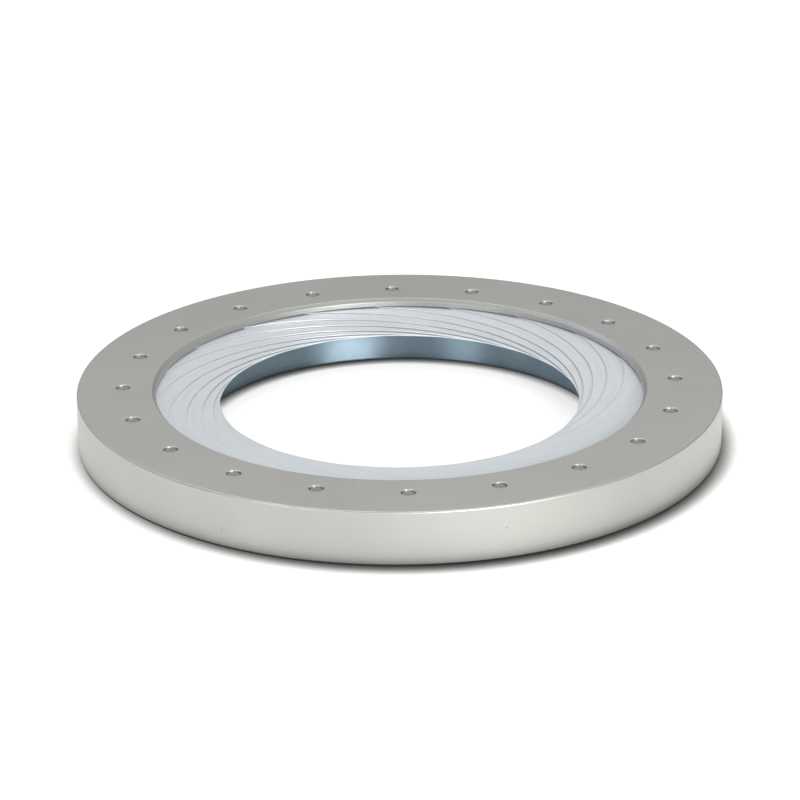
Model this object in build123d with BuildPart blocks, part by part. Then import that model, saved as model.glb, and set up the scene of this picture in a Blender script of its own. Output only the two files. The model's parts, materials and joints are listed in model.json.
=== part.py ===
from build123d import *
import math
import os

os.makedirs("parts", exist_ok=True)

# A large iris diaphragm for a 150 mm bore: twenty thin leaves between a fixed
# base ring and an outer ring that is turned by hand. Millimetres, +Z up, the
# optical axis on Z and the base's mounting face on z = 0.

# ---------------------------------------------------------------- whole object
leaf_count = 20
leaf_step = 360 / leaf_count
outer_radius = 116.6
overall_height = 19.5
pivot_radius = 100.0  # circle of the leaf pivots in the top flange
base_bore_radius = 75.0  # the largest clear opening
aperture_rest = 65.0  # opening radius in the stored position
aperture_closed = 38.5  # opening radius at the closed stop

# ---------------------------------------------------------------- outer ring
flange_thickness = 3.0
flange_bore_radius = 88.25
flange_bore_chamfer = 1.25
outer_edge_chamfer = 0.65
bottom_edge_chamfer = 0.3
pin_hole_radius = 2.5
pin_hole_chamfer = 0.25
leaf_cavity_radius = 107.5
skirt_bore_radius = 110.1
outer_ring_bottom = 0.25  # the turning ring stands off the mounting surface
lip_bore_radius = 115.3  # recess that hides the retaining ring
flange_under = overall_height - flange_thickness

# ---------------------------------------------------------------- base ring
base_top = 10.9
rim_radius = 110.0
rim_under = 4.8
hub_radius = 103.5
base_edge_chamfer = 0.5
slot_depth = 3.7
slot_clearance = 0.1
mount_hole_count = 8
mount_circle_radius = 81.5
mount_hole_radius = 2.1  # drilled for an M5 thread
mount_hole_depth = 8.0

# ---------------------------------------------------------------- rings, screws
glide_thickness = 0.5
glide_gap = 0.05
upper_glide_radii = (107.7, 109.9)
lower_glide_radii = (104.2, 109.9)
spring_radii = (104.6, 109.5)
spring_strip = 0.3
spring_swing = 0.5  # half the height of a wave
spring_waves = 10
retainer_radii = (104.0, 115.25)
retainer_thickness = 2.65
retainer_top = outer_ring_bottom + retainer_thickness
screw_count = 8
screw_circle_radius = 112.3
screw_radius = 1.25
screw_clearance = 0.1
screw_head_radius = 2.3
head_recess = 0.05
screw_length = 8.0
screw_hole_depth = 6.5
screw_azimuth = 4.5
socket_flat = 1.5
socket_depth = 1.0
sink_radius = 2.4
sink_angle = 90
stop_pin_radius = 1.0
stop_pin_span = (100.6, 107.8)  # radial reach, the outer part pressed in the retainer
stop_azimuth = 40.5
stop_play = 0.25  # degrees left before the pin meets the end of its pocket
pocket_floor_radius = 99.9
pocket_height = 3.3
pocket_overcut = 0.5  # the pocket is cut this far past the hub

# ---------------------------------------------------------------- leaves
leaf_thickness = 0.24
leaf_pitch = 0.4  # height from one leaf to the next
leaf_inner_radius = 86.5  # concave inner edge
leaf_outer_radius = 104.5  # convex outer edge, about the same centre
leaf_lead = 99.1  # from a pivot clockwise to where its leaf touches the opening
leaf_head_end = 5.5  # degrees of leaf past the pivot
leaf_tail_end = -168.8
head_fillet = 7.0
tail_fillet = 3.3
tail_reach = 106.5  # radius that the tail keeps inside at the closed stop
drive_radius = 93.0
drive_angle = -165.0
ring_turn_per_leaf_turn = 2.0
ramp_turn = 12.6  # leaf turn at which the blade's twist is true to the axis
head_room = 0.13

# ---------------------------------------------------------------- leaf pins
pin_radius = 2.45
pin_recess = 0.5
pin_edge = 0.3
rivet_radius = 1.5
pin_seat = 0.05
drive_pin_radius = 2.0
drive_pin_bottom = 7.6


def polar(radius, degrees):
    return Vector(radius * math.cos(math.radians(degrees)), radius * math.sin(math.radians(degrees)))


def bearing(point):
    return math.degrees(math.atan2(point.Y, point.X))


def turned(point, centre, degrees):
    """The point after a turn about centre, anticlockwise seen from above."""
    return centre + (point - centre).rotate(Axis.Z, degrees)


def ring_profile(points):
    """Revolves an outline of (radius, height) points about the axis."""
    with BuildPart() as ring:
        with BuildSketch(Plane.XZ):
            with BuildLine():
                Polyline(*points, close=True)
            make_face()
        revolve(axis=Axis.Z)
    return ring.part


def flat_ring(radii, low, high):
    inner, outer = radii
    return ring_profile([(inner, low), (outer, low), (outer, high), (inner, high)])


def write(shape, label):
    shape.label = label
    export_step(shape, f"parts/{label}.step")


# ---------------------------------------------------------------- leaf geometry
# Leaf 1 has its pivot on +X. Its inner edge is an arc whose centre lies off the
# axis, so the arc passes the axis at the opening's radius, leaf_lead degrees
# clockwise of the pivot. Closing turns the leaf clockwise about its pivot.
axis_point = Vector(0, 0)
pivot = Vector(pivot_radius, 0)
arc_centre = polar(leaf_inner_radius - aperture_rest, 180 - leaf_lead)
arm = (arc_centre - pivot).length
arm_bearing = bearing(pivot - arc_centre)


def arm_angle(aperture):
    """Angle at the pivot between the axis and the arc's centre."""
    offset = leaf_inner_radius - aperture
    cosine = (pivot_radius**2 + arm**2 - offset**2) / (2 * pivot_radius * arm)
    return math.degrees(math.acos(cosine))


leaf_open_turn = arm_angle(base_bore_radius) - arm_angle(aperture_rest)
leaf_close_turn = arm_angle(aperture_closed) - arm_angle(aperture_rest)
ring_open_turn = leaf_open_turn * ring_turn_per_leaf_turn
ring_close_turn = leaf_close_turn * ring_turn_per_leaf_turn
drive = arc_centre + polar(drive_radius, arm_bearing + drive_angle)
closed_axis = turned(axis_point, pivot, leaf_close_turn)
ramp_axis = turned(axis_point, pivot, ramp_turn)
ramp_rise = leaf_pitch / leaf_step  # height for each degree about ramp_axis
head_reach = 8.0  # degrees of blade past the pivot, about ramp_axis
pivot_top = flange_under - head_room - head_reach * ramp_rise


def blade_top(point):
    """Height of leaf 1's upper face: it falls clockwise from the pivot."""
    fall = (bearing(pivot - ramp_axis) - bearing(point - ramp_axis)) % 360
    return pivot_top - ramp_rise * fall


def drive_in_base(leaf_turn):
    """Where the drive pin stands over the base once the leaf has turned."""
    swung = turned(drive, pivot, -leaf_turn)
    return turned(swung, axis_point, leaf_turn * ring_turn_per_leaf_turn)


# ---------------------------------------------------------------- leaf blade
# The blade is flexed into a shallow spiral ramp, so each leaf lies on top of its
# anticlockwise neighbour all the way round. A ruled face between two helices is
# thickened upwards, then cut to the leaf's outline.
ramp_lead = 10  # degrees of ramp before the pivot
ramp_sweep = 240
ramp_radii = (40, 125)  # a strip wider than the leaf
ramp_start = bearing(pivot - ramp_axis) + ramp_lead - ramp_sweep
ramp_foot = pivot_top - leaf_thickness + ramp_rise * (ramp_lead - ramp_sweep)
ramp_edges = [
    Pos(ramp_axis.X, ramp_axis.Y, ramp_foot)
    * Rot(0, 0, ramp_start)
    * Helix(360 * ramp_rise, ramp_sweep * ramp_rise, radius)
    for radius in ramp_radii
]
ramp = Face.make_surface_from_curves(ramp_edges[0].edge(), ramp_edges[1].edge())

with BuildPart() as leaf_blade:
    extrude(ramp, amount=leaf_thickness, dir=(0, 0, 1))
    with BuildSketch() as leaf_outline:
        with Locations(arc_centre):
            Circle(leaf_outer_radius)
            Circle(leaf_inner_radius, mode=Mode.SUBTRACT)
        with Locations(closed_axis):
            Circle(tail_reach, mode=Mode.INTERSECT)
        cut_reach = 2 * leaf_outer_radius
        cut_start = arm_bearing + leaf_head_end
        cut_sweep = 360 + leaf_tail_end - leaf_head_end
        cut_corners = [polar(cut_reach, cut_start + cut_sweep * part / 3) for part in range(4)]
        with BuildLine():
            Polyline(arc_centre, *[arc_centre + corner for corner in cut_corners], close=True)
        make_face(mode=Mode.SUBTRACT)
        head_corners = leaf_outline.vertices().sort_by_distance(pivot)[:2]
        fillet(head_corners, head_fillet)
        tail_corners = leaf_outline.vertices().sort_by_distance(drive)[:2]
        fillet(tail_corners, tail_fillet)
        with Locations(pivot, drive):
            Circle(rivet_radius, mode=Mode.SUBTRACT)
    extrude(amount=flange_under, mode=Mode.INTERSECT)

# ---------------------------------------------------------------- leaf pins
# The pivot pin stands up into the flange, the drive pin hangs down into the
# base's slot. Each is a turned pin whose thin end is riveted in the blade.
drive_top = blade_top(drive)
with BuildPart() as leaf_pins:
    with BuildSketch(Plane.XY.offset(pivot_top + pin_seat)):
        with Locations(pivot):
            Circle(pin_radius)
    extrude(amount=overall_height - pin_recess - pivot_top - pin_seat)
    chamfer(leaf_pins.edges().group_by(Axis.Z)[-1], pin_edge)
    with BuildSketch(Plane.XY.offset(pivot_top - leaf_thickness + pin_seat)):
        with Locations(pivot):
            Circle(rivet_radius)
    extrude(amount=leaf_thickness)
    with BuildSketch(Plane.XY.offset(drive_pin_bottom)):
        with Locations(drive):
            Circle(drive_pin_radius)
    extrude(amount=drive_top - leaf_thickness - pin_seat - drive_pin_bottom)
    chamfer(leaf_pins.edges().group_by(Axis.Z)[0], pin_edge)
    with BuildSketch(Plane.XY.offset(drive_top - leaf_thickness - pin_seat)):
        with Locations(drive):
            Circle(rivet_radius)
    extrude(amount=leaf_thickness)

for number in range(leaf_count):
    azimuth = number * leaf_step
    write(leaf_blade.part.rotate(Axis.Z, azimuth), f"leaf_blade_{number + 1:02d}")
    write(leaf_pins.part.rotate(Axis.Z, azimuth), f"leaf_pins_{number + 1:02d}")

# ---------------------------------------------------------------- outer ring
ledge_height = base_top + glide_gap + glide_thickness
outer_ring_outline = [
    (flange_bore_radius, flange_under),
    (flange_bore_radius, overall_height - flange_bore_chamfer),
    (flange_bore_radius + flange_bore_chamfer, overall_height),
    (outer_radius - outer_edge_chamfer, overall_height),
    (outer_radius, overall_height - outer_edge_chamfer),
    (outer_radius, outer_ring_bottom + bottom_edge_chamfer),
    (outer_radius - bottom_edge_chamfer, outer_ring_bottom),
    (lip_bore_radius, outer_ring_bottom),
    (lip_bore_radius, retainer_top),
    (skirt_bore_radius, retainer_top),
    (skirt_bore_radius, ledge_height),
    (leaf_cavity_radius, ledge_height),
    (leaf_cavity_radius, flange_under),
]
with BuildPart() as outer_ring:
    add(ring_profile(outer_ring_outline))
    with BuildSketch(Plane.XY.offset(flange_under)):
        with PolarLocations(pivot_radius, leaf_count):
            Circle(pin_hole_radius)
    extrude(amount=flange_thickness, mode=Mode.SUBTRACT)
    hole_edges = outer_ring.edges().filter_by(GeomType.CIRCLE).group_by(Axis.Z)[-1]
    chamfer(hole_edges.filter_by(lambda edge: edge.radius < 2 * pin_hole_radius), pin_hole_chamfer)
    with BuildSketch(Plane.XY.offset(retainer_top)):
        with PolarLocations(screw_circle_radius, screw_count, start_angle=screw_azimuth):
            Circle(screw_radius)
    extrude(amount=screw_hole_depth, mode=Mode.SUBTRACT)
write(outer_ring.part, "outer_ring")

# ---------------------------------------------------------------- base ring
# Twenty blind cam slots, each the path of one drive pin over the base.
slot_radius = drive_pin_radius + slot_clearance
path_parts = 8
path_step = (leaf_close_turn - leaf_open_turn) / path_parts
path_points = [drive_in_base(leaf_open_turn + path_step * part) for part in range(path_parts + 1)]
base_outline = [
    (base_bore_radius, base_edge_chamfer),
    (base_bore_radius + base_edge_chamfer, 0),
    (hub_radius - base_edge_chamfer, 0),
    (hub_radius, base_edge_chamfer),
    (hub_radius, rim_under),
    (rim_radius, rim_under),
    (rim_radius, base_top),
    (base_bore_radius, base_top),
]
with BuildPart() as cam_slot:
    with BuildSketch(Plane.XY.offset(base_top - slot_depth)):
        with BuildLine() as slot_path:
            Spline(*path_points)
        trace(slot_path.line, line_width=2 * slot_radius)
        with Locations(path_points[0], path_points[-1]):
            Circle(slot_radius)
    extrude(amount=slot_depth)

with BuildPart() as base_ring:
    add(ring_profile(base_outline))
    with PolarLocations(0, leaf_count):
        add(cam_slot.part, mode=Mode.SUBTRACT)
    with BuildSketch():
        with PolarLocations(mount_circle_radius, mount_hole_count):
            Circle(mount_hole_radius)
    extrude(amount=mount_hole_depth, mode=Mode.SUBTRACT)
    pin_half_angle = math.degrees(math.asin(stop_pin_radius / stop_pin_span[0]))
    pocket_start = stop_azimuth + ring_open_turn - pin_half_angle - stop_play
    pocket_sweep = ring_close_turn - ring_open_turn + 2 * (pin_half_angle + stop_play)
    with BuildSketch():
        with BuildLine():
            inner_arc = CenterArc((0, 0), pocket_floor_radius, pocket_start, pocket_sweep)
            outer_arc = CenterArc((0, 0), hub_radius + pocket_overcut, pocket_start, pocket_sweep)
            Line(inner_arc @ 0, outer_arc @ 0)
            Line(inner_arc @ 1, outer_arc @ 1)
        make_face()
    extrude(amount=pocket_height, mode=Mode.SUBTRACT)
write(base_ring.part, "base_ring")

# ---------------------------------------------------------------- glide rings
upper_glide_low = base_top + glide_gap
write(flat_ring(upper_glide_radii, upper_glide_low, ledge_height), "upper_glide_ring")
lower_glide_high = rim_under - glide_gap
lower_glide_low = lower_glide_high - glide_thickness
write(flat_ring(lower_glide_radii, lower_glide_low, lower_glide_high), "lower_glide_ring")

# ---------------------------------------------------------------- wave spring
# A flat strip bent into waves presses the lower glide ring against the base.
spring_middle = (retainer_top + lower_glide_low) / 2 - spring_strip / 2


def wave_edge(radius, samples=8 * spring_waves):
    points = []
    for sample in range(samples):
        azimuth = 360 * sample / samples
        height = spring_middle + spring_swing * math.cos(math.radians(spring_waves * azimuth))
        points.append(polar(radius, azimuth) + Vector(0, 0, height))
    return Spline(*points, periodic=True).edge()


wave = Face.make_surface_from_curves(wave_edge(spring_radii[0]), wave_edge(spring_radii[1]))
with BuildPart() as wave_spring:
    extrude(wave, amount=spring_strip, dir=(0, 0, 1))
write(wave_spring.part, "wave_spring")

# ---------------------------------------------------------------- retaining ring
with BuildPart() as retaining_ring:
    add(flat_ring(retainer_radii, outer_ring_bottom, retainer_top))
    with Locations(Plane.XY.offset(outer_ring_bottom).rotated((180, 0, 0))):
        with PolarLocations(screw_circle_radius, screw_count, start_angle=-screw_azimuth):
            CounterSinkHole(screw_radius + screw_clearance, sink_radius, retainer_thickness, sink_angle)
    stop_height = (outer_ring_bottom + retainer_top) / 2
    stop_direction = polar(1, stop_azimuth)
    stop_foot = stop_direction * stop_pin_span[0] + Vector(0, 0, stop_height)
    stop_plane = Plane(origin=stop_foot, z_dir=stop_direction)
    with BuildSketch(stop_plane):
        Circle(stop_pin_radius)
    extrude(amount=stop_pin_span[1] - stop_pin_span[0], mode=Mode.SUBTRACT)
write(retaining_ring.part, "retaining_ring")

with BuildPart() as stop_pin:
    with BuildSketch(stop_plane):
        Circle(stop_pin_radius)
    extrude(amount=stop_pin_span[1] - stop_pin_span[0])
write(stop_pin.part, "stop_pin")

# ---------------------------------------------------------------- screws
head_height = screw_head_radius - screw_radius
with BuildPart() as screw:
    with BuildSketch(Plane.XZ):
        with BuildLine():
            Polyline(
                (0, 0),
                (screw_head_radius, 0),
                (screw_radius, head_height),
                (screw_radius, screw_length),
                (0, screw_length),
                close=True,
            )
        make_face()
    revolve(axis=Axis.Z)
    with BuildSketch():
        RegularPolygon(socket_flat / 2, 6, major_radius=False)
    extrude(amount=socket_depth, mode=Mode.SUBTRACT)

with BuildPart() as retaining_screws:
    with Locations(Location((0, 0, outer_ring_bottom + head_recess))):
        with PolarLocations(screw_circle_radius, screw_count, start_angle=screw_azimuth):
            add(screw.part)
write(retaining_screws.part, "retaining_screws")

print(f"leaf turn {-leaf_close_turn:.2f} to {-leaf_open_turn:.2f} degrees about its pivot")
print(f"ring turn {ring_open_turn:.2f} to {ring_close_turn:.2f} degrees")
print(f"blade top at {drive_top:.2f} by the drive pin and {pivot_top:.2f} by the pivot")
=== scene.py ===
# %% [markdown]
# A large iris diaphragm. A turned ring carries twenty thin leaves on pins, and a
# second ring under them has a slot for each leaf's other pin. Turning one ring
# on the other swings all the leaves at once and opens or closes the middle.
#
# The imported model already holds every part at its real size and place. This
# script reads it as a frame, builds finer meshes for the parts that show, gives
# each part the finish of its real metal, and lights the whole in a small studio.

# %% Load the frame
import bpy
import bmesh
import json
import math
from mathutils import Matrix, Vector

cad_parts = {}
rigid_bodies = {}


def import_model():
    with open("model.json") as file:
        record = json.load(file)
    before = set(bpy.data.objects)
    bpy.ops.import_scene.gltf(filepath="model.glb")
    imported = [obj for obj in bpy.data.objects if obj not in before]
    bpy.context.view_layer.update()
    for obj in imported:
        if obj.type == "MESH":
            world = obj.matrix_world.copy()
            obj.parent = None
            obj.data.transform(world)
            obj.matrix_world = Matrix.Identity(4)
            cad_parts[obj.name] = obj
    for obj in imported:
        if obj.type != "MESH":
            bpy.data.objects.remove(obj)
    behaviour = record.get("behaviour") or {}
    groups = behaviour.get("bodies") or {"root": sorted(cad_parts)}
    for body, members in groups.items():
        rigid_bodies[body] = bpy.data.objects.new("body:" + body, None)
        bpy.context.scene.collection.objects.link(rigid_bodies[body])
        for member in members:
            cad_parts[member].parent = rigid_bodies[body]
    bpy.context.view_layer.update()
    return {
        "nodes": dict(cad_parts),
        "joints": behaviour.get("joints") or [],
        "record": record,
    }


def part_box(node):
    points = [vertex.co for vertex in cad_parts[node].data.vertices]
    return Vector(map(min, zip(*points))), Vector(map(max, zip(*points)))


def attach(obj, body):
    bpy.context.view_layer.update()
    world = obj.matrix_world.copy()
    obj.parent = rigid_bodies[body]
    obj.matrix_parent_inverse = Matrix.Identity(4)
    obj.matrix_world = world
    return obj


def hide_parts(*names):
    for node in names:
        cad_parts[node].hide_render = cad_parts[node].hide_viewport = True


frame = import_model()
MM = 0.001  # Blender works in metres, and a workshop works in millimetres

# %% [markdown]
# The frame gives the main sizes. The outer ring's box holds the outside radius
# and the height, and each leaf joint says where its pin stands. Only small
# details, such as a chamfer, are typed in as numbers, and they are in
# millimetres with a name.

# %% Sizes that come from the frame
ring_low, ring_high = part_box("outer_ring")
outer_radius = ring_high.x / MM
top_height = ring_high.z / MM
ring_foot = ring_low.z / MM
leaf_joints = [joint for joint in frame["joints"] if joint["child"].startswith("leaf_")]
leaf_count = len(leaf_joints)
leaf_step = 360 / leaf_count
pivot_radius = Vector(leaf_joints[0]["pos_m"][:2]).length / MM
print(f"radius {outer_radius:.1f} mm, height {top_height:.1f} mm, {leaf_count} leaves")
print(f"leaf pins on a circle of {pivot_radius:.1f} mm radius")

# %% [markdown]
# Three small helpers are used all the way through. The first turns a bmesh, the
# editable mesh, into an object whose smooth faces break only at real edges. The
# second picks the edges where two faces meet at a sharp angle. The third turns a
# profile drawn in the XZ plane into a ring, as a lathe does.

# %% Helpers for meshes
weld_distance = 0.002  # vertices closer than this are one


def finished_object(name, bm, crease=35):
    """Closes a bmesh into an object at the origin, smooth between creases."""
    bmesh.ops.remove_doubles(bm, verts=bm.verts, dist=weld_distance * MM)
    bmesh.ops.recalc_face_normals(bm, faces=bm.faces)
    open_edges = sum(not edge.is_manifold for edge in bm.edges)
    mesh = bpy.data.meshes.new(name)
    bm.to_mesh(mesh)
    bm.free()
    mesh.shade_smooth()
    mesh.set_sharp_from_angle(angle=math.radians(crease))
    piece = bpy.data.objects.new(name, mesh)
    bpy.context.scene.collection.objects.link(piece)
    flatter = piece.modifiers.new("large faces stay flat", "WEIGHTED_NORMAL")
    flatter.keep_sharp = True
    print(f"{name}: {len(mesh.polygons)} faces, {open_edges} open edges")
    return piece


def sharp_edges(bm, degrees):
    """The edges where two faces meet at more than this angle."""
    limit = math.radians(degrees)
    return [edge for edge in bm.edges if edge.is_manifold and edge.calc_face_angle() > limit]


def lathe(bm, profile, steps):
    """Spins (radius, height) points, in millimetres, once round the axis."""
    verts = [bm.verts.new((radius * MM, 0, height * MM)) for radius, height in profile]
    edges = [bm.edges.new(pair) for pair in zip(verts, verts[1:])]
    bmesh.ops.spin(bm, geom=verts + edges, axis=(0, 0, 1), cent=(0, 0, 0),
                   angle=math.tau, steps=steps, use_merge=True)

# %% [markdown]
# The outer ring is turned from one piece of aluminium: a wall, a flange on top
# and a wide chamfer round the flange's bore. A lathe profile makes all of it
# apart from the two flat faces with the pin holes. Cutting those holes with a
# boolean would leave long thin faces, so each flat face is made from twenty
# equal tiles instead. A tile is a grid bent to its share of the ring, with a
# block of its faces taken out and a round hole bridged into the gap.

# %% One tile of a flat ring, with a hole in it
tile_columns = 18  # so that the whole ring has a vertex for every degree
hole_sides = 32
gap_half = hole_sides // 8  # the gap's rim has as many edges as the hole
gap_reach = 7.0  # half the gap's width, in and out from the pins' circle
outer_rows = (0.66, 0.33, 0)  # shares of what is left from the gap to the rim
ring_steps = tile_columns * leaf_count


def holed_tile(bm, inner, outer, height, hole_radius):
    """Adds a tile between two radii and returns the edges of its hole."""
    rows = [inner, (inner + pivot_radius - gap_reach) / 2]
    rows += [pivot_radius + gap_reach * (row / gap_half - 1) for row in range(2 * gap_half + 1)]
    rows += [outer + (pivot_radius + gap_reach - outer) * part for part in outer_rows]
    made = bmesh.ops.create_grid(bm, x_segments=tile_columns, y_segments=len(rows) - 1, size=0.5)
    gap = []
    for vert in made["verts"]:
        column = round((vert.co.x + 0.5) * tile_columns) - tile_columns // 2
        row = round((vert.co.y + 0.5) * (len(rows) - 1))
        turn = math.radians(column * leaf_step / tile_columns)
        vert.co = Vector((math.cos(turn), math.sin(turn), 0)) * rows[row] * MM
        vert.co.z = height * MM
        if abs(column) < gap_half and abs(row - 2 - gap_half) < gap_half:
            gap.append(vert)
    gap_faces = {face for vert in gap for face in vert.link_faces}
    rim = [edge for face in gap_faces for edge in face.edges
           if len(gap_faces.intersection(edge.link_faces)) == 1]
    bmesh.ops.delete(bm, geom=gap, context="VERTS")
    place = Matrix.Translation((pivot_radius * MM, 0, height * MM))
    circle = bmesh.ops.create_circle(bm, segments=hole_sides, radius=hole_radius * MM, matrix=place)
    hole = list({edge for vert in circle["verts"] for edge in vert.link_edges})
    bmesh.ops.bridge_loops(bm, edges=rim + hole)
    return hole

# %% [markdown]
# A hole's wall is its rim extruded: once inwards and down for the small
# chamfer, and once straight down to the flange's lower face. The finished
# tile is repeated by the spin operator, which can copy instead of sweep.

# %% The outer ring's profile in numbers
flange_under = 16.5
bore_radius = 88.25
bore_chamfer = 1.25
rim_chamfer = 0.65  # turned as a small round
foot_chamfer = 0.3
cavity_radius = 107.5
skirt_bore = 110.1
lip_bore = 115.3
lip_height = 2.9
ledge_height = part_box("upper_glide_ring")[1].z / MM
pin_hole = 2.5
pin_hole_chamfer = 0.25
edge_break = 0.12  # a turned edge is never perfectly sharp
edge_break_angle = 30
seam_distance = 0.01  # where two shapes meet, closer vertices than this are joined
print(f"flange {top_height - flange_under:.1f} mm thick over a bore of {bore_radius:.2f} mm radius")

# %% Its flat faces and pin holes
bm = bmesh.new()
rim = holed_tile(bm, bore_radius + bore_chamfer, outer_radius - rim_chamfer,
                 top_height, pin_hole + pin_hole_chamfer)
hole_axis = Matrix.Translation((-pivot_radius * MM, 0, 0))
steps_down = [(pin_hole_chamfer, pin_hole / (pin_hole + pin_hole_chamfer)),
              (top_height - pin_hole_chamfer - flange_under, 1.0)]
for drop, shrink in steps_down:
    made = bmesh.ops.extrude_edge_only(bm, edges=rim)["geom"]
    verts = [item for item in made if isinstance(item, bmesh.types.BMVert)]
    rim = [item for item in made if isinstance(item, bmesh.types.BMEdge)]
    bmesh.ops.translate(bm, verts=verts, vec=(0, 0, -drop * MM))
    bmesh.ops.scale(bm, verts=verts, vec=(shrink, shrink, 1), space=hole_axis)
holed_tile(bm, bore_radius, cavity_radius, flange_under, pin_hole)
bmesh.ops.spin(bm, geom=bm.verts[:] + bm.edges[:] + bm.faces[:], axis=(0, 0, 1), cent=(0, 0, 0),
               angle=math.tau, steps=leaf_count, use_duplicate=True)
print("flat faces:", len(bm.faces), "faces")

# %% Its turned walls and edges
lathe(bm, [(bore_radius, flange_under), (bore_radius, top_height - bore_chamfer),
           (bore_radius + bore_chamfer, top_height)], ring_steps)
rounded_rim = [(outer_radius - rim_chamfer + rim_chamfer * math.sin(math.radians(turn)),
                top_height - rim_chamfer + rim_chamfer * math.cos(math.radians(turn)))
               for turn in range(0, 91, 15)]
wall_and_skirt = [
    (outer_radius, ring_foot + foot_chamfer), (outer_radius - foot_chamfer, ring_foot),
    (lip_bore, ring_foot), (lip_bore, lip_height), (skirt_bore, lip_height),
    (skirt_bore, ledge_height), (cavity_radius, ledge_height), (cavity_radius, flange_under)]
lathe(bm, rounded_rim + wall_and_skirt, ring_steps)
bmesh.ops.remove_doubles(bm, verts=bm.verts, dist=seam_distance * MM)
bmesh.ops.recalc_face_normals(bm, faces=bm.faces)
bmesh.ops.bevel(bm, geom=sharp_edges(bm, edge_break_angle), offset=edge_break * MM,
                offset_type="OFFSET", segments=2, profile=0.5, affect="EDGES", material=-1,
                clamp_overlap=True)
turned_ring = finished_object("turned_ring", bm)
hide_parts("outer_ring")
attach(turned_ring, "outer_ring")

# %% [markdown]
# A leaf is a crescent of spring steel. Its inner edge is an arc whose centre is
# off the ring's axis, and its pivot stands outside that arc. Stacked in the
# housing the leaf twists into a shallow ramp, high at the pivot and low at the
# tail, so each leaf lies on the one before it all the way round.
#
# Where the arc's centre lies follows from the size of the opening. The numbers
# that decide it are set first, with the few turns of plane geometry they need.

# %% The leaf's shape in numbers
leaf_inner = 86.5
leaf_outer = 104.5
opening_now = 65.0
opening_closed = 38.5
touch_angle = 99.1  # clockwise from the pivot to where the leaf meets the opening
head_end = 5.5
tail_end = -168.8
head_round = 7.0
tail_round = 3.3
tail_reach = 106.5
leaf_thickness = 0.24
leaf_pitch = 0.4  # from one leaf's upper face to the next
leaf_rise = leaf_pitch / leaf_step
ramp_turn = 12.6
head_reach = 6.57  # degrees of leaf past the pivot, seen from the ramp's axis
leaf_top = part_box("leaf_blade_01")[1].z / MM
print(f"leaf pitch {leaf_pitch} mm, highest leaf face at {leaf_top:.2f} mm")

# %% Plane geometry
def polar(radius, degrees):
    """The point at this distance and angle from the middle."""
    turn = math.radians(degrees)
    return Vector((radius * math.cos(turn), radius * math.sin(turn)))


def bearing(point):
    """A point's angle round the middle, in degrees."""
    return math.degrees(math.atan2(point.y, point.x))


def turned(point, centre, degrees):
    """The point after a turn about a centre."""
    return centre + Matrix.Rotation(math.radians(degrees), 2) @ (point - centre)


pivot = Vector((pivot_radius, 0))
arc_centre = polar(leaf_inner - opening_now, 180 - touch_angle)
arm = (arc_centre - pivot).length
arm_bearing = bearing(pivot - arc_centre)


def arm_angle(opening):
    """The leaf's angle at the pivot when the opening has this radius."""
    offset = leaf_inner - opening
    cosine = (pivot_radius**2 + arm**2 - offset**2) / (2 * pivot_radius * arm)
    return math.degrees(math.acos(cosine))


closing_turn = arm_angle(opening_closed) - arm_angle(opening_now)
closed_axis = turned(Vector((0, 0)), pivot, closing_turn)
ramp_axis = turned(Vector((0, 0)), pivot, ramp_turn)
print(f"a leaf turns {closing_turn:.1f} degrees to close")


def ramp_height(point):
    """The height of leaf 1's upper face at a point of the plan, in millimetres."""
    fall = (bearing(pivot - ramp_axis) - bearing(point - ramp_axis) + 30) % 360 - 30
    return leaf_top - (fall + head_reach) * leaf_rise

# %% [markdown]
# The flat crescent is spun from a short line across the leaf. Every vertex then
# gets its place in the outline and its height from the ramp, and the sheet gets
# its thickness by extrusion. A grid drawn by hand would do the same, but a spin
# keeps the rows in order, so the leaf's own UV map, in millimetres along and
# across the strip, comes from the same two numbers. One leaf is made once, and
# each of the twenty is a copy turned to its place.

# %% Spin, bend and thicken one leaf
across_lines = 6
along_steps = 220
end_crowding = 0.85  # 0 would space the steps evenly
rolled_edge = 0.05
cut_angle = 60
nearly_level = 0.97  # the upright part of a normal on the sheet's broad faces
sheet_thickness = 0.32  # the solid is 0.24, which leaves a dark gap that shows
leaf_width = leaf_outer - leaf_inner
leaf_length = math.radians(head_end - tail_end) * (leaf_outer + leaf_inner) / 2


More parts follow.
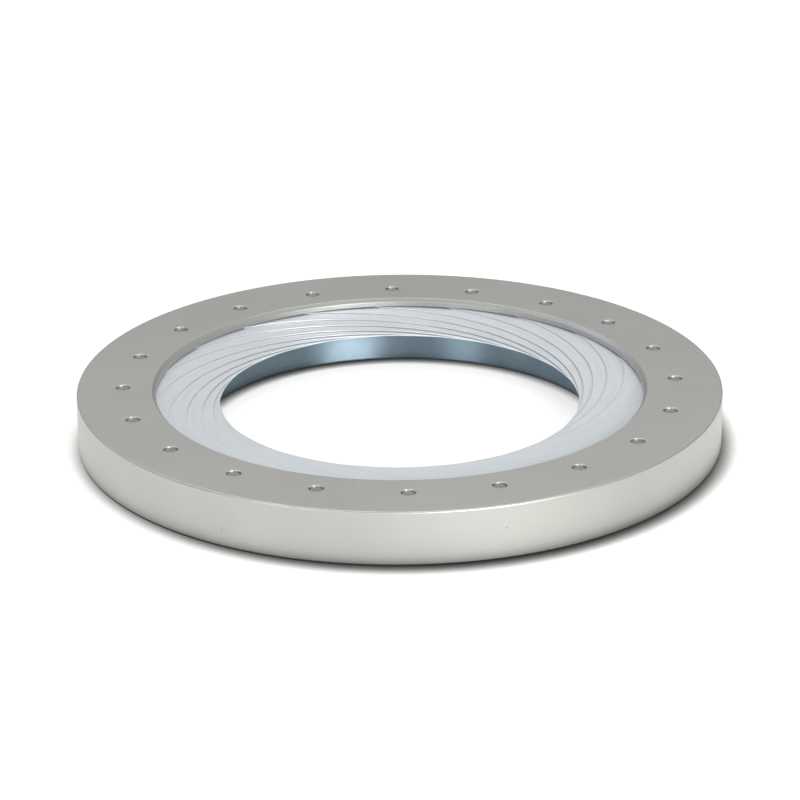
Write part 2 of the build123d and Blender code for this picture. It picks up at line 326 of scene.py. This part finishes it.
def leaf_mesh():
    """One leaf as a bmesh, with its pivot on +X, in metres."""
    bm = bmesh.new()
    uv_layer = bm.loops.layers.uv.new("leaf")
    verts = [bm.verts.new((1 + part / across_lines, 0, 0)) for part in range(across_lines + 1)]
    edges = [bm.edges.new(pair) for pair in zip(verts, verts[1:])]
    sweep = head_end - tail_end
    bmesh.ops.spin(bm, geom=verts + edges, axis=(0, 0, 1), cent=(0, 0, 0),
                   angle=-math.radians(sweep), steps=along_steps)
    strip = {}
    for vert in bm.verts:
        share = -bearing(vert.co) % 360 / sweep
        share -= end_crowding * math.sin(math.tau * share) / math.tau  # closer at both ends
        strip[vert] = (min(max(share, 0), 1), vert.co.xy.length - 1)
    for vert, (along, across) in strip.items():
        ray = polar(1, arm_bearing + head_end - sweep * along)
        to_axis = arc_centre - closed_axis
        lean = ray.dot(to_axis)
        reach = math.sqrt(tail_reach**2 - to_axis.length_squared + lean**2) - lean
        outer = min(leaf_outer, reach)
        length = math.radians(sweep) * (leaf_inner + outer) / 2
        inset = 0
        for distance, corner in ((along * length, head_round), ((1 - along) * length, tail_round)):
            if distance < corner:
                inset = corner - math.sqrt(corner**2 - (corner - distance) ** 2)
        radius = leaf_inner + inset + across * (outer - leaf_inner - 2 * inset)
        vert.co.xy = arc_centre + ray * radius
    for vert in bm.verts:
        vert.co.z = ramp_height(vert.co.xy)
    for face in bm.faces:
        for loop in face.loops:
            along, across = strip[loop.vert]
            loop[uv_layer].uv = (along * leaf_length, across * leaf_width)  # one unit a millimetre
    made = bmesh.ops.extrude_face_region(bm, geom=bm.faces[:])["geom"]
    lower = [item for item in made if isinstance(item, bmesh.types.BMVert)]
    bmesh.ops.translate(bm, verts=lower, vec=(0, 0, -sheet_thickness))
    bmesh.ops.scale(bm, verts=bm.verts, vec=(MM, MM, MM))
    bmesh.ops.recalc_face_normals(bm, faces=bm.faces)
    bmesh.ops.bevel(bm, geom=sharp_edges(bm, cut_angle), offset=rolled_edge * MM,
                    offset_type="OFFSET", segments=2, profile=0.5, affect="EDGES", material=-1,
                    clamp_overlap=True)
    for face in bm.faces:
        face.material_index = int(abs(face.normal.z) < nearly_level)  # 1 is the cut edge
    return bm


leaf_pattern = leaf_mesh()
print("one leaf:", len(leaf_pattern.faces), "faces")

# %% Twenty leaves, each turned to its place
for number in range(leaf_count):
    bm = leaf_pattern.copy()
    place = Matrix.Rotation(math.radians(number * leaf_step), 3, "Z")
    bmesh.ops.rotate(bm, verts=bm.verts, cent=(0, 0, 0), matrix=place)
    leaf = finished_object(f"leaf_{number + 1:02d}", bm)
    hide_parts(f"leaf_blade_{number + 1:02d}")
    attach(leaf, f"leaf_{number + 1:02d}")
leaf_pattern.free()

# %% [markdown]
# Every leaf carries two turned pins, riveted in the sheet. The pivot pin stands up
# in the ring's flange, and its ground end shows in the twenty small holes. The
# drive pin hangs down into a slot of the base. A pin is half an outline spun
# round its own centre line, then moved to its place on the leaf.

# %% The pins in numbers
pin_low, pin_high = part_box("leaf_pins_01")
pin_top = pin_high.z / MM
pin_foot = pin_low.z / MM
pivot_pin = 2.45
drive_pin = 2.0
rivet = 1.5
pin_edge = 0.3
pin_sides = 40
pin_edge_break = 0.05
drive = arc_centre + polar(93, arm_bearing - 165)  # the drive pin, 93 mm from the arc's centre
rivet_length = 0.19  # how far a rivet reaches into the sheet
shoulder_gap = 0.05
pivot_seat = ramp_height(pivot)
drive_seat = ramp_height(drive) - leaf_thickness
print(f"pivot pins end at {pin_top:.2f} mm, drive pins at {pin_foot:.2f} mm")

# %% Turn a pin
def turned_pin(bm, place, outline):
    """Spins a (radius, height) outline about an upright line through the place."""
    part = bmesh.new()
    lathe(part, outline, pin_sides)
    bmesh.ops.remove_doubles(part, verts=part.verts, dist=weld_distance * MM)
    bmesh.ops.recalc_face_normals(part, faces=part.faces)
    bmesh.ops.bevel(part, geom=sharp_edges(part, edge_break_angle), offset=pin_edge_break * MM,
                    offset_type="OFFSET", segments=2, profile=0.5, affect="EDGES", material=-1,
                    clamp_overlap=True)
    bmesh.ops.translate(part, verts=part.verts, vec=(place.x * MM, place.y * MM, 0))
    holder = bpy.data.meshes.new("pin_part")
    part.to_mesh(holder)
    part.free()
    bm.from_mesh(holder)
    bpy.data.meshes.remove(holder)

# %% Two pins for each leaf
pin_pattern = bmesh.new()
turned_pin(pin_pattern, pivot, [
    (0, pin_top), (pivot_pin - pin_edge, pin_top), (pivot_pin, pin_top - pin_edge),
    (pivot_pin, pivot_seat + shoulder_gap), (rivet, pivot_seat + shoulder_gap),
    (rivet, pivot_seat - rivet_length), (0, pivot_seat - rivet_length)])
turned_pin(pin_pattern, drive, [
    (0, drive_seat + rivet_length), (rivet, drive_seat + rivet_length),
    (rivet, drive_seat - shoulder_gap), (drive_pin, drive_seat - shoulder_gap),
    (drive_pin, pin_foot + pin_edge),
    (drive_pin - pin_edge, pin_foot), (0, pin_foot)])
for number in range(leaf_count):
    bm = pin_pattern.copy()
    place = Matrix.Rotation(math.radians(number * leaf_step), 3, "Z")
    bmesh.ops.rotate(bm, verts=bm.verts, cent=(0, 0, 0), matrix=place)
    pins = finished_object(f"pins_{number + 1:02d}", bm)
    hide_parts(f"leaf_pins_{number + 1:02d}")
    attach(pins, f"leaf_{number + 1:02d}")
pin_pattern.free()

# %% [markdown]
# Now the finishes. Colours are written as the hex values that a colour picker
# shows, and one function turns them into the linear values that shaders need.
# Another adds a node, sets its values and links what feeds it. Patterns read
# Object coordinates, which are metres here, so a noise scale is one over the
# size of a feature in metres.

# %% Helpers for materials
def linear(hex_colour):
    """An sRGB hex colour as the linear RGBA that shaders read."""
    channels = [int(hex_colour[start:start + 2], 16) / 255 for start in (1, 3, 5)]
    curve = [c / 12.92 if c <= 0.04045 else ((c + 0.055) / 1.055) ** 2.4 for c in channels]
    return (*curve, 1.0)


def add_node(material, kind, values=None, links=None, **settings):
    """Adds a node, sets its properties and socket values, and links its inputs."""
    node = material.node_tree.nodes.new(kind)
    for key, value in settings.items():
        setattr(node, key, value)
    for socket, value in (values or {}).items():
        node.inputs[socket].default_value = value
    for socket, source in (links or {}).items():
        material.node_tree.links.new(source, node.inputs[socket])
    return node


def start_material(name, **constants):
    """A new material, its shader's constants set on the shader's own sockets."""
    material = bpy.data.materials.new(name)
    material.use_nodes = True
    shader = material.node_tree.nodes["Principled BSDF"]
    for socket, value in constants.items():
        shader.inputs[socket.replace("_", " ")].default_value = value
    return material, shader


def per_mm(size):
    """The noise scale whose features are about this many millimetres across."""
    return 1 / (size * MM)


def connect(material, shader, colour=None, roughness=None, normal=None):
    """Links the finished colour, roughness and bump to the shader."""
    for socket, source in (("Base Color", colour), ("Roughness", roughness), ("Normal", normal)):
        if source is not None:
            material.node_tree.links.new(source, shader.inputs[socket])

# %% [markdown]
# The ring is aluminium, turned, blasted with fine glass beads and anodised clear.
# Blasting leaves a surface of tiny dents that spreads every reflection, so the
# ring looks soft grey with no sharp highlight. The real dents are about 0.05 mm,
# which no picture of the whole ring can show, so they are drawn about six times
# coarser and very shallow. A slow cloudiness stands for the anodic layer, whose
# thickness is never quite even, and sparse small marks for handling.

# %% Bead-blasted anodised aluminium
aluminium, shader = start_material("bead_blasted_anodised_aluminium", Metallic=1.0)
place = add_node(aluminium, "ShaderNodeTexCoord").outputs["Object"]
dents = add_node(aluminium, "ShaderNodeTexNoise",
                 {"Scale": per_mm(0.3), "Detail": 2.0, "Roughness": 0.6},
                 {"Vector": place}).outputs["Fac"]
cloud = add_node(aluminium, "ShaderNodeTexNoise", {"Scale": per_mm(45), "Detail": 3.0},
                 {"Vector": place}).outputs["Fac"]
marks = add_node(aluminium, "ShaderNodeTexVoronoi", {"Scale": per_mm(14), "Randomness": 1.0},
                 {"Vector": place}, feature="F1").outputs["Distance"]
mark_spots = add_node(aluminium, "ShaderNodeMapRange", {"From Min": 0.02, "From Max": 0.045,
                      "To Min": 1.0, "To Max": 0.0}, {"Value": marks}).outputs["Result"]
tone = add_node(aluminium, "ShaderNodeValToRGB", links={"Fac": cloud})
tone.color_ramp.elements[0].position = 0.35
tone.color_ramp.elements[0].color = linear("#b9b9b6")
tone.color_ramp.elements[1].position = 0.65
tone.color_ramp.elements[1].color = linear("#bebfba")
marked = add_node(aluminium, "ShaderNodeMixRGB", {"Color2": linear("#a3a4a2")},
                  {"Fac": mark_spots, "Color1": tone.outputs["Color"]}).outputs["Color"]
gloss = add_node(aluminium, "ShaderNodeMapRange", {"To Min": 0.4, "To Max": 0.48},
                 {"Value": dents}).outputs["Result"]
relief = add_node(aluminium, "ShaderNodeBump", {"Strength": 0.35, "Distance": 0.006 * MM},
                  {"Height": dents}).outputs["Normal"]
connect(aluminium, shader, marked, gloss, relief)
print(aluminium.name, "has", len(aluminium.node_tree.nodes), "nodes")

# %% [markdown]
# The leaves are hard-rolled spring steel with a matt silver plating. Plating grown
# matt scatters light almost like paint, so the leaves look pale from every side,
# and the rolling still shows as faint streaks along the strip. Each leaf's own UV
# map, in millimetres, gives the streaks their direction: one a little under a
# millimetre wide runs some thirty along the leaf.

# %% Matt-plated leaf steel
leaf_steel, shader = start_material("matt_plated_spring_steel", Metallic=0.35)
strip_place = add_node(leaf_steel, "ShaderNodeUVMap", uv_map="leaf").outputs["UV"]
stretched = add_node(leaf_steel, "ShaderNodeMapping", {"Scale": (0.03, 1.0, 1.0)},
                     {"Vector": strip_place}).outputs["Vector"]
streaks = add_node(leaf_steel, "ShaderNodeTexNoise",
                   {"Scale": 1.1, "Detail": 4.0, "Roughness": 0.6},
                   {"Vector": stretched}).outputs["Fac"]
place = add_node(leaf_steel, "ShaderNodeTexCoord").outputs["Object"]
bloom = add_node(leaf_steel, "ShaderNodeTexNoise", {"Scale": per_mm(18), "Detail": 2.0},
                 {"Vector": place}).outputs["Fac"]
silver = add_node(leaf_steel, "ShaderNodeValToRGB", links={"Fac": streaks})
silver.color_ramp.elements[0].position = 0.3
silver.color_ramp.elements[0].color = linear("#c6cbcf")
silver.color_ramp.elements[1].position = 0.7
silver.color_ramp.elements[1].color = linear("#d1d6d9")
gloss = add_node(leaf_steel, "ShaderNodeMapRange", {"To Min": 0.38, "To Max": 0.52},
                 {"Value": bloom}).outputs["Result"]
relief = add_node(leaf_steel, "ShaderNodeBump", {"Strength": 0.25, "Distance": 0.004 * MM},
                  {"Height": streaks}).outputs["Normal"]
connect(leaf_steel, shader, silver.outputs["Color"], gloss, relief)
print(leaf_steel.name, "has", len(leaf_steel.node_tree.nodes), "nodes")

# %% [markdown]
# A leaf is punched from the plated strip, so its edge is bare steel, brighter
# and smoother than the faces. Punching tears the lower half of an edge, and the
# torn part scatters light as the plating does, so the edge isn't fully metallic.

# %% Bare cut edge
cut_edge, shader = start_material("bare_cut_steel_edge", Metallic=0.6)
place = add_node(cut_edge, "ShaderNodeTexCoord").outputs["Object"]
tears = add_node(cut_edge, "ShaderNodeTexNoise", {"Scale": per_mm(0.5), "Detail": 2.0},
                 {"Vector": place}).outputs["Fac"]
steel = add_node(cut_edge, "ShaderNodeValToRGB", links={"Fac": tears})
steel.color_ramp.elements[0].color = linear("#d8dcdf")
steel.color_ramp.elements[1].color = linear("#e6e9ec")
gloss = add_node(cut_edge, "ShaderNodeMapRange", {"To Min": 0.25, "To Max": 0.4},
                 {"Value": tears}).outputs["Result"]
connect(cut_edge, shader, steel.outputs["Color"], gloss)
print(cut_edge.name, "has", len(cut_edge.node_tree.nodes), "nodes")

# %% [markdown]
# The base ring is turned steel with a blue zinc plating, the finish of common
# hardware. The tool's grooves run round the axis, so a highlight spreads across
# them, up and down the bore, and stays narrow along them. Anisotropy with a
# tangent that goes round Z gives that. The groove pattern reads the distance from
# the axis and the height, both in metres, so it follows the bore and the faces.
# The plating's blue comes from a thin clear film, whose hue drifts a little.

# %% Blue zinc on turned steel
blue_zinc, shader = start_material("blue_zinc_on_turned_steel", Metallic=1.0, Anisotropic=0.95,
                                  Anisotropic_Rotation=0.25)
place = add_node(blue_zinc, "ShaderNodeTexCoord").outputs["Object"]
flat = add_node(blue_zinc, "ShaderNodeVectorMath", {1: (1, 1, 0)}, {0: place}, operation="MULTIPLY")
reach = add_node(blue_zinc, "ShaderNodeVectorMath", links={0: flat.outputs["Vector"]},
                 operation="LENGTH")
height = add_node(blue_zinc, "ShaderNodeSeparateXYZ", links={"Vector": place}).outputs["Z"]
groove_place = add_node(blue_zinc, "ShaderNodeCombineXYZ",
                        links={"X": reach.outputs["Value"], "Y": height}).outputs["Vector"]
grooves = add_node(blue_zinc, "ShaderNodeTexNoise", {"Scale": per_mm(0.5), "Detail": 3.0},
                   {"Vector": groove_place}).outputs["Fac"]
film = add_node(blue_zinc, "ShaderNodeTexNoise",
                {"Scale": per_mm(12), "Detail": 4.0, "Roughness": 0.65},
                {"Vector": place}).outputs["Fac"]
hue = add_node(blue_zinc, "ShaderNodeValToRGB", links={"Fac": film})
hue.color_ramp.elements[0].position = 0.3
hue.color_ramp.elements[0].color = linear("#778c9a")
hue.color_ramp.elements[1].position = 0.7
hue.color_ramp.elements[1].color = linear("#8899a4")
gloss = add_node(blue_zinc, "ShaderNodeMapRange", {"To Min": 0.38, "To Max": 0.5},
                 {"Value": grooves}).outputs["Result"]
relief = add_node(blue_zinc, "ShaderNodeBump", {"Strength": 0.3, "Distance": 0.008 * MM},
                  {"Height": grooves}).outputs["Normal"]
connect(blue_zinc, shader, hue.outputs["Color"], gloss, relief)
round_axis = add_node(blue_zinc, "ShaderNodeTangent", direction_type="RADIAL", axis="Z")
blue_zinc.node_tree.links.new(round_axis.outputs["Tangent"], shader.inputs["Tangent"])
print(blue_zinc.name, "has", len(blue_zinc.node_tree.nodes), "nodes")

# %% [markdown]
# The pins are ground steel. Their flat ends keep fine straight scratches from
# the wheel, so the noise is stretched along Y. The steel is greyer than the
# aluminium round it, and a little glossier.

# %% Ground pin steel
pin_steel, shader = start_material("ground_pin_steel", Metallic=1.0)
place = add_node(pin_steel, "ShaderNodeTexCoord").outputs["Object"]
long_way = add_node(pin_steel, "ShaderNodeMapping", {"Scale": (1.0, 0.08, 1.0)}, {"Vector": place})
scratches = add_node(pin_steel, "ShaderNodeTexNoise", {"Scale": per_mm(0.25), "Detail": 3.0},
                     {"Vector": long_way.outputs["Vector"]}).outputs["Fac"]
tint = add_node(pin_steel, "ShaderNodeValToRGB", links={"Fac": scratches})
tint.color_ramp.elements[0].color = linear("#929290")
tint.color_ramp.elements[1].color = linear("#adadaa")
gloss = add_node(pin_steel, "ShaderNodeMapRange", {"To Min": 0.28, "To Max": 0.42},
                 {"Value": scratches}).outputs["Result"]
relief = add_node(pin_steel, "ShaderNodeBump", {"Strength": 0.2, "Distance": 0.004 * MM},
                  {"Height": scratches}).outputs["Normal"]
connect(pin_steel, shader, tint.outputs["Color"], gloss, relief)
print(pin_steel.name, "has", len(pin_steel.node_tree.nodes), "nodes")

# %% [markdown]
# The screws are stainless steel. Tumbling in a drum with ceramic chips rounds
# their burrs and leaves a satin covered in shallow dings, which show as small
# changes of gloss and hardly at all as colour.

# %% Tumbled stainless steel
screw_steel, shader = start_material("tumbled_stainless_steel", Metallic=1.0)
place = add_node(screw_steel, "ShaderNodeTexCoord").outputs["Object"]
dings = add_node(screw_steel, "ShaderNodeTexNoise", {"Scale": per_mm(0.4), "Detail": 2.0},
                 {"Vector": place}).outputs["Fac"]
tint = add_node(screw_steel, "ShaderNodeValToRGB", links={"Fac": dings})
tint.color_ramp.elements[0].color = linear("#a9a8a4")
tint.color_ramp.elements[1].color = linear("#c2c1bd")
gloss = add_node(screw_steel, "ShaderNodeMapRange", {"To Min": 0.22, "To Max": 0.36},
                 {"Value": dings}).outputs["Result"]
connect(screw_steel, shader, tint.outputs["Color"], gloss)
print(screw_steel.name, "has", len(screw_steel.node_tree.nodes), "nodes")

# %% [markdown]
# The wave spring is tempered steel strip, brown-grey from the heat. It runs in a
# film of oil that gathers in patches, so colour and gloss change slowly over some
# millimetres, and a thin clear coat gives the oil its own reflection.

# %% Oiled spring steel
spring_steel, shader = start_material("oiled_spring_steel", Metallic=1.0, Coat_Weight=0.2)
place = add_node(spring_steel, "ShaderNodeTexCoord").outputs["Object"]
oil = add_node(spring_steel, "ShaderNodeTexNoise", {"Scale": per_mm(6), "Detail": 4.0},
               {"Vector": place}).outputs["Fac"]
tint = add_node(spring_steel, "ShaderNodeValToRGB", links={"Fac": oil})
tint.color_ramp.elements[0].color = linear("#5c5a58")
tint.color_ramp.elements[1].color = linear("#7d7973")
gloss = add_node(spring_steel, "ShaderNodeMapRange", {"To Min": 0.3, "To Max": 0.45},
                 {"Value": oil}).outputs["Result"]
connect(spring_steel, shader, tint.outputs["Color"], gloss)
print(spring_steel.name, "has", len(spring_steel.node_tree.nodes), "nodes")

# %% [markdown]
# The glide rings are natural acetal, a milky plastic that lets light in a little
# way. Subsurface scattering gives that softness, and a slow change of tint and
# gloss stands for the flow of the material when the bar was extruded.

# %% Natural acetal
acetal, shader = start_material("natural_acetal", Metallic=0.0, IOR=1.48, Subsurface_Weight=0.1)
shader.inputs["Subsurface Radius"].default_value = (1, 0.9, 0.7)
shader.inputs["Subsurface Scale"].default_value = 0.5 * MM
place = add_node(acetal, "ShaderNodeTexCoord").outputs["Object"]
flow = add_node(acetal, "ShaderNodeTexNoise", {"Scale": per_mm(8), "Detail": 2.0},
                {"Vector": place}).outputs["Fac"]
tint = add_node(acetal, "ShaderNodeValToRGB", links={"Fac": flow})
tint.color_ramp.elements[0].color = linear("#e3dfd2")
tint.color_ramp.elements[1].color = linear("#f0ede4")
gloss = add_node(acetal, "ShaderNodeMapRange", {"To Min": 0.42, "To Max": 0.55},
                 {"Value": flow}).outputs["Result"]
connect(acetal, shader, tint.outputs["Color"], gloss)
print(acetal.name, "has", len(acetal.node_tree.nodes), "nodes")

# %% [markdown]
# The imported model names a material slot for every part. A table from slot to
# finish dresses all of its parts in one loop. The new pieces get theirs after
# it, with the cut edge as the leaves' second material.

# %% Give every part its finish
finishes = {"turned_aluminium": aluminium, "leaf_steel": leaf_steel, "zinc_steel": blue_zinc,
            "pin_steel": pin_steel, "screw_steel": screw_steel, "spring_steel": spring_steel,
            "glide_plastic": acetal}
slot_of = {part["node"]: part["material_slot"] for part in frame["record"]["subparts"]}
for name, node in frame["nodes"].items():
    node.data.materials.clear()
    node.data.materials.append(finishes[slot_of[name]])
turned_ring.data.materials.append(aluminium)
for number in range(leaf_count):
    leaf = bpy.data.objects[f"leaf_{number + 1:02d}"]
    leaf.data.materials.append(leaf_steel)
    leaf.data.materials.append(cut_edge)
    pins = bpy.data.objects[f"pins_{number + 1:02d}"]
    pins.data.materials.append(pin_steel)
print("finishes:", ", ".join(sorted(finish.name for finish in set(finishes.values()))))

# %% [markdown]
# The ring lies on a wide white board. The board is lit until it is plain white,
# which would wash out the shadow where the ring meets it, so the board's own
# colour darkens where something close above it blocks the light. Ambient
# occlusion measures exactly that. Its normal leans to the back and the left, so
# the shadow is deeper in front and on the right, and its reach is shorter inside
# the bore. Some emission keeps the board white far from the lights.

# %% White board
bm = bmesh.new()
bmesh.ops.create_grid(bm, x_segments=1, y_segments=1, size=6)
board = finished_object("white_board", bm)
board_gap = 0.05
board.location.z = -board_gap * MM
white_board, shader = start_material("white_board", Metallic=0.0, Roughness=0.7)
shader.inputs["Specular IOR Level"].default_value = 0.0
lean = add_node(white_board, "ShaderNodeCombineXYZ", {"X": -0.22, "Y": 0.6, "Z": 0.77})
board_place = add_node(white_board, "ShaderNodeTexCoord").outputs["Object"]
from_axis = add_node(white_board, "ShaderNodeVectorMath", links={0: board_place},
                     operation="LENGTH")
shadow_reach = add_node(white_board, "ShaderNodeMapRange",
                        {"From Min": 75 * MM, "From Max": 105 * MM,
                         "To Min": 8 * MM, "To Max": 10.5 * MM},
                        {"Value": from_axis.outputs["Value"]})
contact = add_node(white_board, "ShaderNodeAmbientOcclusion", links={
    "Normal": lean.outputs["Vector"], "Distance": shadow_reach.outputs["Result"]}, samples=16)
shade = add_node(white_board, "ShaderNodeValToRGB", links={"Fac": contact.outputs["AO"]})
shadow_tones = ((0.35, 0.03), (0.5, 0.2), (0.66, 0.55), (0.82, 0.9))
while len(shade.color_ramp.elements) < len(shadow_tones):
    shade.color_ramp.elements.new(0.5)
for stop, (position, grey) in zip(shade.color_ramp.elements, shadow_tones):
    stop.position = position
    stop.color = (grey, grey, grey * 0.98, 1)
paint = add_node(white_board, "ShaderNodeMixRGB", {"Fac": 1.0, "Color2": (0.55, 0.55, 0.55, 1)},
                 {"Color1": shade.outputs["Color"]}, blend_type="MULTIPLY")
white_board.node_tree.links.new(paint.outputs["Color"], shader.inputs["Base Color"])
# The glow takes the same painted shadow colour, so the painted shadow darkens the board's glow as
# well as its base colour.
white_board.node_tree.links.new(shade.outputs["Color"], shader.inputs["Emission Color"])
shader.inputs["Emission Strength"].default_value = 0.68  # the board is lit from below too
board.data.materials.append(white_board)

# %% [markdown]
# The studio is a pale room, dim at the horizon and brightest a little above it,
# where the flat flange looks for its reflection. The room's light is the world's
# background, a ramp over the height of the direction, grey with a slight tint
# that warms with height.

# %% The room
world = bpy.data.worlds.new("studio")
world.use_nodes = True
bpy.context.scene.world = world
direction = add_node(world, "ShaderNodeTexCoord").outputs["Generated"]
upward = add_node(world, "ShaderNodeSeparateXYZ", links={"Vector": direction}).outputs["Z"]
room = add_node(world, "ShaderNodeValToRGB", links={"Fac": upward})
room_levels = ((0.0, 0.16), (0.2, 0.4), (0.37, 0.62), (0.6, 0.5), (1.0, 0.42))
while len(room.color_ramp.elements) < len(room_levels):
    room.color_ramp.elements.new(0.5)
for stop, (position, level) in zip(room.color_ramp.elements, room_levels):
    stop.position = position
    warmth = position**0.5
    stop.color = (level, level * (0.985 + 0.02 * warmth), level * (1.06 - 0.09 * warmth), 1)
background = world.node_tree.nodes["Background"]
world.node_tree.links.new(room.outputs["Color"], background.inputs["Color"])
print("room:", len(room_levels), "levels from the horizon up")

# %% [markdown]
# Four softboxes do the rest. A wide one hangs overhead. The one low at the front
# right draws the bright line on the ring's front edge and the soft upright
# highlight in the blue bore, and a weaker one at the front left draws a second,
# fainter streak. The last is a touch of violet behind on the left.

# %% Softboxes
def softbox(name, azimuth, elevation, distance, size, power, colour="#ffffff"):
    """An area light aimed at the middle, placed by its angles in degrees."""
    data = bpy.data.lights.new(name, "AREA")
    data.shape = "RECTANGLE"
    data.size, data.size_y = size
    data.energy = power
    data.color = linear(colour)[:3]
    light = bpy.data.objects.new(name, data)
    level = polar(math.cos(math.radians(elevation)), azimuth)
    light.location = Vector((level.x, level.y, math.sin(math.radians(elevation)))) * distance
    light.rotation_mode = "QUATERNION"
    light.rotation_quaternion = (-light.location).to_track_quat("-Z", "Y")
    bpy.context.scene.collection.objects.link(light)


softbox("overhead", 90, 70, 1.6, (1.5, 1.0), 11)
softbox("front_right", -63, 19, 1.5, (0.7, 0.5), 19)
softbox("front_left", -128, 19, 1.5, (0.5, 0.5), 5)
softbox("left_rear", 150, 35, 1.6, (0.6, 0.6), 1.6, "#cfc8ff")

# %% [markdown]
# The camera looks down at the ring from about 22 degrees with a long lens, a good
# metre away, so that the ring's near and far sides keep nearly one scale. It is
# aimed a little below the flange, and is rolled by less than half a degree.

# %% Camera
camera_azimuth, camera_elevation, camera_roll = (math.radians(a) for a in (-1.57, 21.83, -0.4))
camera_distance = 1.225
camera_lens = 152.2
aim_below = 6.25
aim_aside = 0.1
toward = Vector((math.sin(camera_azimuth) * math.cos(camera_elevation),
                 -math.cos(camera_azimuth) * math.cos(camera_elevation),
                 math.sin(camera_elevation)))
camera_data = bpy.data.cameras.new("camera")
camera_data.lens = camera_lens
camera_data.sensor_width = 36
camera = bpy.data.objects.new("camera", camera_data)
bpy.context.scene.collection.objects.link(camera)
turn = (-toward).to_track_quat("-Z", "Y")
up = turn @ Vector((0, 1, 0))
side = turn @ Vector((1, 0, 0))
target = Vector((0, 0, top_height * MM)) - up * aim_below * MM + side * aim_aside * MM
camera.location = target + toward * camera_distance
camera.rotation_mode = "QUATERNION"
camera.rotation_quaternion = turn @ Matrix.Rotation(camera_roll, 3, "Z").to_quaternion()
bpy.context.scene.camera = camera
bpy.context.scene.view_settings.view_transform = "Standard"
print(f"camera {camera_distance} m from the ring, lens {camera_lens} mm")
